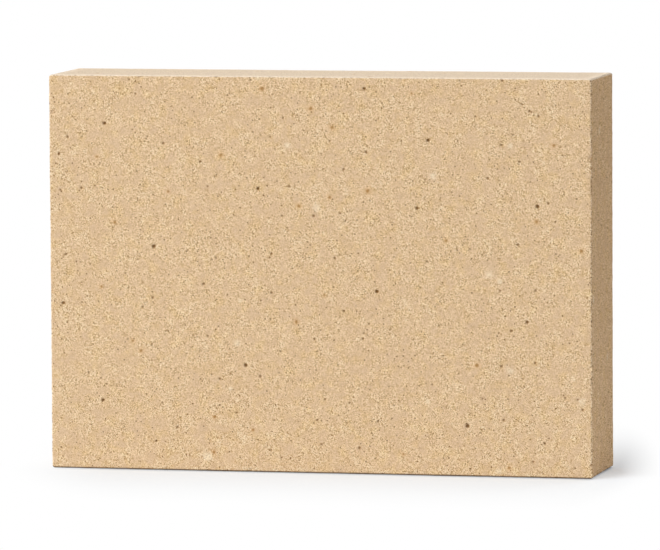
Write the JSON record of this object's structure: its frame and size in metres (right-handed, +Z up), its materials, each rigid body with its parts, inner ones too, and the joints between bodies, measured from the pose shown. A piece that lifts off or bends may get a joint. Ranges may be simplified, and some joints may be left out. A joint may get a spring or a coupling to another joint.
{
  "type": "stove firebrick",
  "caption": "Thin rectangular slab of fired fireclay that lines the firebox of a stove, standing on a long edge.",
  "frame": {"origin": "middle of the face that the brick stands on", "axes": "+X along the length, +Y through the thickness from the hot face to the cold face, +Z up"},
  "size_m": [0.159, 0.032, 0.114],
  "materials": {
    "fireclay": "matt, sandy, buff fired clay with dark pores and pale and rust-coloured grog"
  },
  "bodies": {
    "root": {"firebrick": "fireclay"}
  },
  "joints": []
}
